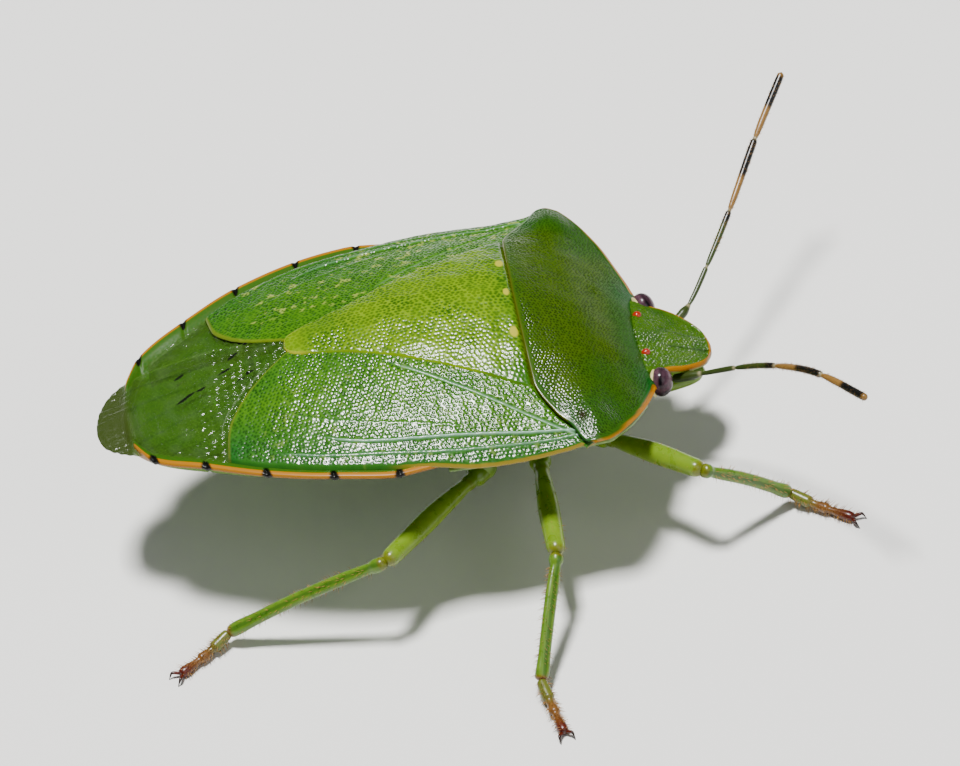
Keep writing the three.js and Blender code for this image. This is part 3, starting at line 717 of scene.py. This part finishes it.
def abdomen_masks(x, y, s, t, upper):
    from_edge = (1 - np.abs(t)) * half_width(x)
    rim = (1 - smooth(RIM * 0.9, RIM * 1.15, from_edge)) * rim_fade(x)
    reach = 0.15 * (1 - from_edge / 0.4)
    marks = sum(1 - smooth(reach * 0.7, reach + 0.02, np.abs(x - at)) for at in SEGMENT_ENDS)
    marks = marks * (from_edge < 0.3)
    if upper:
        return {"belly": 0 * x, "shade": 1 - smooth(0.6, 1.2, from_edge), "pit": 0.6 * pits(x, y, 0.11, 31),
                "rim": rim, "mark": marks, "dull": smooth(RIM * 0.8, RIM * 1.2, from_edge)}
    spiracles = sum(1 - smooth(0.6, 1.1, np.hypot(x - at - 0.75, np.abs(y) - 0.74 * half_width(x)) / 0.06)
                    for at in SEGMENT_ENDS)
    under_rim = (1 - smooth(RIM * 0.5, RIM * 0.7, from_edge)) * rim_fade(x)
    return {"belly": 1 + 0 * x, "shade": 0 * x, "dull": 0 * x, "rim": under_rim,
            "pit": 0.35 * pits(x, y, 0.16, 33) + 0.5 * ring_ends(x),
            "mark": np.clip(marks * (from_edge < 0.18) + spiracles, 0, 1)}


def abdomen_top(x, y, s, t):
    from_edge = (1 - np.abs(t)) * half_width(x)
    bed = back(x, y) - BED_DEPTH - 0.25 * smooth(-11.4, -12.0, x)
    rim = (edge_height(x) - rounding(from_edge, 0.05) + 0.02 * bump(from_edge, 0.12, 0.08)
           - 0.04 * ring_ends(x))
    inward = smooth(RIM + 0.05, RIM + 0.75, from_edge)
    shaped = lerp(lerp(rim, bed, inward), bed, 1 - rim_fade(x))
    return shaped - 0.01 * pits(x, y, 0.11, 31) * inward


def abdomen_under(x, y, s, t):
    from_edge = (1 - np.abs(t)) * half_width(x)
    lip = edge_height(x) - 0.07 - 0.25 * smooth(-11.4, -12.0, x)
    deep = belly_depth(x)
    bulge = 1 - np.abs(t) ** BELLY_POWER
    crease = 0.05 * ring_ends(x) * smooth(0.1, 0.6, from_edge) + 0.05 * bump(np.abs(t), 0.84, 0.02)
    shaped = lip - (lip - deep) * bulge + crease
    return np.minimum(shaped, abdomen_top(x, y, s, t) - 0.08) + rounding(from_edge, 0.04)


abdomen_half = 1 - spaced(4.79, 0.045)[::-1] ** 1.7
abdomen_columns = np.concatenate([-abdomen_half[:0:-1], abdomen_half])
cushion("abdomen_body", abdomen_plan, abdomen_top, abdomen_under, spaced(8.4, 0.035), abdomen_columns,
        abdomen_cuticle, ["abdomen"], abdomen_masks)


# Thorax: side plates and breast between the hips
THORAX_FRONT_X = 1.7


def thorax_plan(s, t):
    x = lerp(THORAX_FRONT_X, WAIST_X - 0.06, s)
    return x, t * (half_width(x) - 0.3)


SUTURES = (-0.55, -2.1)


def thorax_masks(x, y, s, t, upper):
    seams = sum(bump(x + 0.12 * np.abs(y), at, 0.05) for at in SUTURES)
    return {"pit": 0.5 * pits(x, y, 0.14, 41) * smooth(0.35, 0.6, np.abs(t)) + 0.5 * seams}


def thorax_top(x, y, s, t):
    return back(x, y) - 0.34 - 0.1 * np.abs(t) ** 6


def thorax_under(x, y, s, t):
    lip = edge_height(x) - 0.36
    seams = sum(bump(x + 0.12 * np.abs(y), at, 0.06) for at in SUTURES)
    furrow = 0.1 * bump(y, 0, 0.25)
    shaped = lip - (lip - belly_depth(x)) * (1 - np.abs(t) ** BELLY_POWER)
    return np.minimum(shaped + 0.06 * seams + furrow - 0.01 * wander(x, y, 0.3, 5), back(x, y) - 0.5)


cushion("thorax_body", thorax_plan, thorax_top, thorax_under, spaced(5.4, 0.04), evened(9.4, 0.05),
        thorax_cuticle, ["thorax"], thorax_masks)


# Head: flat and wrinkled above, cheeks and clypeus parted by two fine grooves
head_half = profile([(0, 1.5), (0.2, 1.47), (0.35, 1.35), (0.62, 1.18), (0.84, 0.9), (0.94, 0.68),
                     (1, 0.42)])


def head_plan(s, t):
    y = t * head_half(s)
    rear_x = 1.5 + 0.375 * (y / PRONOTUM_FRONT[1]) ** 2
    return lerp(rear_x, HEAD_TIP_X - 0.1 * t**2, s), y


def clypeus(x):
    return lerp(0.34, 0.24, smooth(2.3, 3.7, x))


def head_edge(x, s, t, stretch=1.2):
    """Distance in from the head's outline, its tip counted a little further off by the stretch."""
    return np.minimum((1 - np.abs(t)) * head_half(s), (HEAD_TIP_X - 0.1 * t**2 - x) * stretch)


def head_plane(x, y):
    """The flat top of the head: it falls to the tip, and a little to each side."""
    return -0.8 - HEAD_SLOPE * (x - 1.98) - 0.1 * (y / 1.4) ** 2 * (HEAD_TIP_X - x) / 1.8


def head_masks(x, y, s, t, upper):
    side = np.abs(y)
    edge = head_edge(x, s, t)
    grooves = bump(side, clypeus(x), 0.022) * smooth(2.35, 2.6, x)
    if not upper:
        return {"shade": 0 * x, "pit": 0.3 * pits(x, y, 0.1, 55), "belly": 1 + 0 * x, "dull": 1 + 0 * x,
                "rim": 0 * x}
    return {
        "pit": 0.6 * pits(x, y, 0.1, 51, 0.08, 0.4) * smooth(0.1, 0.2, edge) + 0.7 * grooves,
        "shade": 0.5 * smooth(0.1, 0.7, wander(x, y, 0.7, 21)),
        "belly": 0 * x,
        "dull": 1 - smooth(0.04, 0.1, edge),
        "rim": (1 - smooth(0.06, 0.1, edge)) * smooth(0.3, 0.36, s),
    }


def head_top(x, y, s, t):
    side = np.abs(y)
    edge = head_edge(x, s, t)
    plane = head_plane(x, y)
    grooves = bump(side, clypeus(x), 0.025) * smooth(2.35, 2.6, x)
    clypeal = 0.03 * bump(side, 0, 0.2) * smooth(2.3, 2.8, x)
    lift = 0.045 * bump(edge, 0.06, 0.06) * smooth(0.3, 0.5, s)
    crown = 0.06 * bump(np.hypot((x - 2.2) / 0.5, y / 0.9), 0, 1)
    wrinkle = 0.004 * np.sin(x * 40 + 6 * wander(x, y, 0.4, 2)) * smooth(0.1, 0.3, edge)
    masks = head_masks(x, y, s, t, True)
    nape = 0.25 * smooth(1.95, 1.6, x)
    pit_depth = 0.025 + 0.035 * smooth(0.5, -0.3, y)
    return (plane + crown + clypeal + lift - nape - 0.03 * grooves - rounding(edge, 0.06) + wrinkle
            - pit_depth * masks["pit"])


head_floor = profile([(1.5, -2.45), (2.6, -2.45), (3.4, -2.28), (3.75, -2.1)])


def head_under(x, y, s, t):
    lip = head_plane(x, y) - 0.12
    edge = head_edge(x, s, t, 1.0)
    cheek = 1 - np.abs(t) ** 1.6
    furrow = 0.12 * bump(y, 0, 0.16) * smooth(1.9, 2.4, x)
    return lip - np.maximum(0, lip - head_floor(x)) * cheek * smooth(-0.05, 0.7, edge) + furrow


cushion("head_capsule", head_plan, head_top, head_under, spaced(2.5, 0.015), evened(3.0, 0.016),
        head_cuticle, ["head"], head_masks)


def dome(name, at, radii, material, nodes, masks=None, turn=0.0, across=64, down=40):
    """An egg-shaped piece, turned about the upright through its centre."""
    latitude, longitude = np.meshgrid(np.linspace(0.001, math.pi - 0.001, down),
                                      np.linspace(0, 2 * math.pi, across, endpoint=False), indexing="ij")
    unit = np.stack([np.sin(latitude) * np.cos(longitude), np.sin(latitude) * np.sin(longitude),
                     np.cos(latitude)], -1).reshape(-1, 3)
    spin = np.array(Matrix.Rotation(turn, 3, "Z"))
    points = (unit * np.array(radii)) @ spin.T + np.array(at)
    faces = grid_faces(down, across, closed=True)
    faces = [face[::-1] for face in faces]
    faces.append(list(range(across)))
    faces.append(list(range(len(points) - 1, len(points) - across - 1, -1)))
    return piece(name, points, faces, material, nodes, masks(unit) if masks else None)


def eye_masks(unit):
    """A dark pupil-like patch near the top, a darker underside and faint bands across the facets."""
    ahead, above = unit[:, 0], unit[:, 2]
    bands = 0.5 + 0.5 * np.sin(ahead * 14)
    patch = bump(np.hypot((ahead - 0.2) / 0.35, (above - 0.6) / 0.55), 0, 0.9)
    return {"shade": patch + 0.2 * bands + 0.7 * smooth(0.0, -0.3, above), "dull": smooth(0.3, -0.1, above)}


EYE_TURN = 0.3
COLLAR_BACK = 0.19
COLLAR_DROP = 0.04
for side, sign in (("left", 1), ("right", -1)):
    at = (EYE_AT[0], sign * EYE_AT[1], EYE_AT[2])
    turn = sign * EYE_TURN
    behind = (at[0] - COLLAR_BACK * math.cos(EYE_TURN), at[1] - COLLAR_BACK * math.sin(turn),
              at[2] - COLLAR_DROP)
    dome(f"eye_dome_{side}", at, (0.31, 0.38, 0.41), eye_cuticle, [f"eye_{side}"], eye_masks, turn)
    dome(f"eye_rim_{side}", behind, (0.12, 0.37, 0.41), rim_cuticle, [], turn=turn)
    dome(f"ocellus_{side}", (1.97, sign * 0.78, -0.83), (0.125, 0.115, 0.1), ocellus_cuticle, [],
         across=24, down=14)


# Limbs

def path_frames(points, count):
    """Centres, directions and two cross directions at even steps along a smooth path."""
    knots = np.array(points, float)
    curve = spline(knots)
    fractions = np.linspace(0, 1, count)
    centres = np.stack(curve(fractions), -1)
    heading = np.gradient(centres, axis=0)
    heading /= np.linalg.norm(heading, axis=1)[:, None]
    up = np.array((0, 0, 1.0))
    side = np.cross(up, heading)
    side /= np.linalg.norm(side, axis=1)[:, None]
    return fractions, centres, heading, side, np.cross(heading, side)


def limb(name, points, radius, material, nodes, masks=None, around=20, count=60, section=None,
         floor=None):
    """A closed limb along a smooth path; section shapes its rings by angle, floor is its lowest level."""
    fractions, centres, _, side, over = path_frames(points, count)
    angle = np.linspace(0, 2 * math.pi, around, endpoint=False)
    shape = np.ones((count, around)) if section is None else section(fractions[:, None], angle[None, :])
    reach = radius(fractions)[:, None] * shape
    ring = (centres[:, None] + side[:, None] * (np.cos(angle)[None, :] * reach)[..., None]
            + over[:, None] * (np.sin(angle)[None, :] * reach)[..., None])
    flat = ring.reshape(-1, 3)
    if floor is not None:
        flat[:, 2] = np.maximum(flat[:, 2], floor)
    faces = [face[::-1] for face in grid_faces(count, around, closed=True)]
    faces.append(list(range(around)))
    faces.append(list(range(len(flat) - 1, len(flat) - around - 1, -1)))
    values = None
    if masks:
        t, a = np.meshgrid(fractions, angle, indexing="ij")
        values = masks(t, a)
    return piece(name, flat, faces, material, nodes, values)


def bristles(name, points, radius, count, length, seed, thick=0.011, lean=0.5, start=0.0):
    """Fine tapering hairs that stand out of a limb and lean to its tip, as one piece."""
    draw = np.random.default_rng(seed)
    fractions, centres, heading, side, over = path_frames(points, 200)
    at = (draw.uniform(start, 0.99, count) * 199).astype(int)
    turn = draw.uniform(0, 2 * math.pi, count)
    out = side[at] * np.cos(turn)[:, None] + over[at] * np.sin(turn)[:, None]
    root = centres[at] + out * (radius(fractions[at]) * 0.9)[:, None]
    reach = length * draw.uniform(0.6, 1.2, count)[:, None]
    tip = root + (out + heading[at] * lean) * reach
    first, second = heading[at], np.cross(heading[at], out)
    corners = [root + thick * (first * math.cos(a) + second * math.sin(a)) for a in (0.0, 2.1, 4.2)]
    tip[:, 2] = np.maximum(tip[:, 2], -STAND + 0.01)
    vertices = np.stack(corners + [tip], 1).reshape(-1, 3)
    faces = []
    for i in range(0, 4 * count, 4):
        faces += [(i, i + 1, i + 3), (i + 1, i + 2, i + 3), (i + 2, i, i + 3), (i + 2, i + 1, i)]
    return piece(name, vertices, faces, bristle)


HIP = {"front": (0.2, 1.6, -2.6), "middle": (-1.4, 1.8, -2.7), "hind": (-2.9, 1.9, -2.7)}
STANCE = {
    "front_right": ((2.72, -4.53, -2.0), (4.95, -3.53, -4.35), (6.49, -4.72, -4.6)),
    "middle_right": ((-1.49, -5.98, -2.5), (-2.6, -8.63, -4.38), (-2.28, -10.44, -4.6)),
    "hind_right": ((-5.95, -5.48, -2.0), (-10.49, -4.32, -4.38), (-11.97, -5.24, -4.6)),
    "front_left": ((0.7, 5.2, -2.3), (0.1, 7.9, -4.35), (0.15, 9.35, -4.6)),
    "middle_left": ((-2.2, 5.9, -2.3), (-3.0, 8.3, -4.38), (-3.4, 9.75, -4.6)),
    "hind_left": ((-5.95, 5.48, -2.0), (-10.49, 4.32, -4.38), (-11.97, 5.24, -4.6)),
}
thigh_radius = profile([(0, 0.2), (0.03, 0.3), (0.09, 0.3), (0.13, 0.21), (0.17, 0.22), (0.2, 0.19),
                        (0.3, 0.23), (0.6, 0.29), (0.86, 0.26), (0.94, 0.25), (0.98, 0.2), (1, 0.1)])
shin_radius = profile([(0, 0.1), (0.02, 0.19), (0.06, 0.2), (0.1, 0.15), (0.3, 0.165), (0.8, 0.165),
                       (0.94, 0.19), (0.98, 0.18), (1, 0.1)])
foot_radius = profile([(0, 0.08), (0.03, 0.14), (0.3, 0.17), (0.36, 0.11), (0.4, 0.11), (0.5, 0.14),
                       (0.58, 0.15), (0.62, 0.1), (0.66, 0.1), (0.9, 0.15), (0.97, 0.13), (1, 0.06)])


def grooved(t, angle):
    """A shin's section: three blunt keels with furrows between."""
    return 1 + 0.1 * np.cos(3 * angle + 0.6) * smooth(0.05, 0.2, t) * (1 - smooth(0.9, 1, t))


def thigh_masks(t, a):
    return {"shade": 0.35 * (1 + np.sin(a)) * 0.5 + 0.3 * (1 - smooth(0.1, 0.3, t)),
            "rust": 0.45 * smooth(0.95, 0.985, t) + 0.3 * bump(t, 0.19, 0.012)}


def shin_masks(t, a):
    return {"shade": 0.7 * smooth(0.2, 0.9, -np.cos(3 * a + 0.6)),
            "rust": 0.8 * smooth(0.95, 0.99, t) + 0.3 * (t < 0.03)}


def foot_masks(t, a):
    return {"shade": 0.8 * (1 - smooth(0.25, 0.5, t)), "rust": smooth(0.6, 0.95, t),
            "mark": 0.4 * smooth(0.96, 1.0, t)}


def claw_masks(t, a):
    return {"shade": 0 * t, "rust": 1 + 0 * t, "mark": smooth(0.25, 0.6, t)}


def between(a, b, t, lift=0.0):
    point = lerp(np.array(a, float), np.array(b, float), t)
    point[2] += lift
    return tuple(point)


COXA_RISE = 0.14
COXA_RADII = (0.37, 0.35, 0.46)
SOLE_RISE = 0.13


def leg(name, knee, ankle, tip, seed):
    pair, side = name.split("_")
    hip = np.array(HIP[pair]) * (1, 1 if side == "left" else -1, 1)
    thigh_path = [hip, between(hip, knee, 0.5, 0.06), knee]
    shin_path = [knee, between(knee, ankle, 0.5, 0.1), ankle]
    dome(f"coxa_{name}", hip + (0, 0, COXA_RISE), COXA_RADII, thorax_cuticle, [], across=32,
         down=20)
    sole = (tip[0], tip[1], -STAND + SOLE_RISE)
    foot_path = [ankle, between(ankle, sole, 0.4, -0.08), sole]
    limb(f"thigh_{name}", thigh_path, thigh_radius, thigh_cuticle, [f"leg_{name}_femur"],
         thigh_masks, count=90)
    limb(f"shin_{name}", shin_path, shin_radius, shin_cuticle, [f"leg_{name}_tibia"], shin_masks,
         around=30, count=80, section=grooved)
    limb(f"foot_{name}", foot_path, foot_radius, foot_cuticle, [f"leg_{name}_tarsus"], foot_masks,
         count=60, floor=-STAND)
    ahead = np.array(tip) - np.array(ankle)
    ahead[2] = 0
    ahead /= np.linalg.norm(ahead)
    beside = np.array((-ahead[1], ahead[0], 0))
    claw_radius = profile([(0, 0.045), (0.3, 0.045), (1, 0.008)])
    for turn in (-1, 1):
        root = np.array(sole) - 0.04 * ahead + 0.05 * turn * beside
        bend = root + 0.16 * ahead + 0.13 * turn * beside + (0, 0, 0.05)
        end = bend + 0.13 * ahead + 0.02 * turn * beside
        end[2] = -STAND + 0.012
        hand = "inner" if turn < 0 else "outer"
        limb(f"claw_{name}_{hand}", [root, bend, end], claw_radius, foot_cuticle, [], claw_masks,
             around=12, count=16)
    bristles(f"hairs_thigh_{name}", thigh_path, thigh_radius, 60, 0.12, seed, thick=0.008,
             start=0.25)
    bristles(f"hairs_shin_{name}", shin_path, shin_radius, 220, 0.16, seed + 1, thick=0.009,
             start=0.1)
    bristles(f"hairs_foot_{name}", foot_path, foot_radius, 220, 0.17, seed + 2, start=0.05)


for number, (name, (knee, ankle, tip)) in enumerate(STANCE.items()):
    leg(name, knee, ankle, tip, 100 + 10 * number)

# Feelers: a short root, two green segments, and two banded ones
FEELER = {
    "left": ((2.95, 1.1, -1.66), (3.4, 1.5, -1.52), (4.12, 2.39, -1.06), (5.07, 3.7, -0.37),
             (6.19, 5.38, 0.53), (7.31, 6.86, 1.41)),
    "right": ((2.6, -1.05, -1.72), (3.28, -1.38, -1.46), (4.19, -1.97, -0.98), (5.2, -3.07, -0.23),
              (6.26, -4.69, 0.56), (7.2, -6.31, 0.89)),
}


def joints_of(points):
    steps = np.linalg.norm(np.diff(np.array(points), axis=0), axis=1)
    return (np.cumsum(steps) / steps.sum())[:-1]


def feeler(side, points):
    ends = joints_of(points)
    knots = [(0, 0.12), (ends[0] * 0.6, 0.13), (ends[0], 0.07)]
    widths = (0.075, 0.085, 0.1, 0.105)
    limits = list(ends) + [1.0]
    for width, begin, end in zip(widths, limits[:-1], limits[1:]):
        span = end - begin
        knots += [(begin + 0.06 * span, width * 0.7), (begin + 0.2 * span, width * 0.88),
                  (end - 0.2 * span, width), (end - 0.04 * span, width * 0.92),
                  (end, width * 0.55 if end < 1 else 0.02)]
    radius = profile(knots)

    def masks(t, a):
        tan, dark, pale = 0 * t, 0 * t, 0 * t
        for begin, end in ((limits[2], limits[3]), (limits[3], limits[4])):
            along = (t - begin) / (end - begin)
            inside = (along > 0) & (along <= 1)
            tan = tan + inside * 1.0
            pale_tip = (0.9 if end == 1 else 0) * smooth(0.9, 0.97, along)
            dark = dark + inside * smooth(0.42, 0.52, along) * (1 - pale_tip)
        third = (t - limits[1]) / (limits[2] - limits[1])
        dark = dark + (third > 0) * (third <= 1) * smooth(0.72, 0.85, third)
        for end in limits[:-1]:
            pale = pale + 0.8 * bump(t, end, 0.006)
        return {"tan": tan, "mark": dark, "pale": pale}

    limb(f"feeler_{side}", points, radius, feeler_cuticle, [f"antenna_{side}"], masks,
         around=16, count=300)
    bristles(f"hairs_feeler_{side}", points, radius, 700, 0.07, 300 + len(side), thick=0.006,
             lean=0.8, start=0.3)


for side, points in FEELER.items():
    feeler(side, points)

# Beak folded back along the breast
beak_path = [(3.45, 0, -2.5), (2.9, 0, -2.72), (1.6, 0, -2.86), (0.3, 0, float(belly_depth(0.3)) - 0.14),
             (-1.2, 0, float(belly_depth(-1.2)) - 0.08), (-2.7, 0, float(belly_depth(-2.7)) + 0.02)]
beak_radius = profile([(0, 0.1), (0.05, 0.24), (0.2, 0.22), (0.22, 0.17), (0.5, 0.19), (0.52, 0.15),
                       (0.9, 0.13), (1, 0.04)])
limb("beak_sheath", beak_path, beak_radius, thigh_cuticle, ["beak"], thigh_masks, count=90)

# Floor, light and camera
FLOOR_SIZE = 1.2
SKY = (0.9, 0.93, 1.0, 1)
SKY_STRENGTH = 0.13
bpy.ops.mesh.primitive_plane_add(size=FLOOR_SIZE, location=(0, 0, 0))
floor = bpy.context.object
floor.name = "studio_floor"
floor.data.materials.append(studio_floor)

world = bpy.data.worlds.new("studio")
bpy.context.scene.world = world
world.use_nodes = True
world.node_tree.nodes["Background"].inputs["Color"].default_value = SKY
world.node_tree.nodes["Background"].inputs["Strength"].default_value = SKY_STRENGTH


def lamp(name, at, aim, size, watts):
    data = bpy.data.lights.new(name, "AREA")
    data.size = size
    data.energy = watts
    thing = bpy.data.objects.new(name, data)
    thing.location = at
    thing.rotation_euler = (Vector(aim) - Vector(at)).to_track_quat("-Z", "Y").to_euler()
    bpy.context.scene.collection.objects.link(thing)


lamp("key", (-0.01, 0.0, 0.25), (0, 0, 0.004), 0.04, 1.45)
lamp("fill", (0.2, -0.25, 0.2), (0, 0, 0.004), 0.25, 0.35)

# The camera looks down on the bug's right side, rolled a little
ELEVATION = math.radians(41.3)
ROLL = math.radians(12)
DISTANCE = 180.0
AIM = np.array((-2.543, -1.544, 0.0))
PIXELS_PER_MM = 37.6
FRAME_PIXELS = 960
SENSOR_MM = 36.0
towards = np.array((0, -math.cos(ELEVATION), math.sin(ELEVATION)))
level = np.array((1.0, 0, 0))
rising = np.array((0, math.sin(ELEVATION), math.cos(ELEVATION)))
right = math.cos(ROLL) * level - math.sin(ROLL) * rising
up = math.sin(ROLL) * level + math.cos(ROLL) * rising
lens = bpy.data.cameras.new("camera")
lens.sensor_width = SENSOR_MM
lens.lens = SENSOR_MM * PIXELS_PER_MM * DISTANCE / FRAME_PIXELS
lens.clip_start = 0.001
camera = bpy.data.objects.new("camera", lens)
camera.matrix_world = Matrix.Translation((AIM + towards * DISTANCE + BODY_AT) * MM) @ Matrix(
    np.stack([right, up, towards], 1).tolist()).to_4x4()
bpy.context.scene.collection.objects.link(camera)
bpy.context.scene.camera = camera
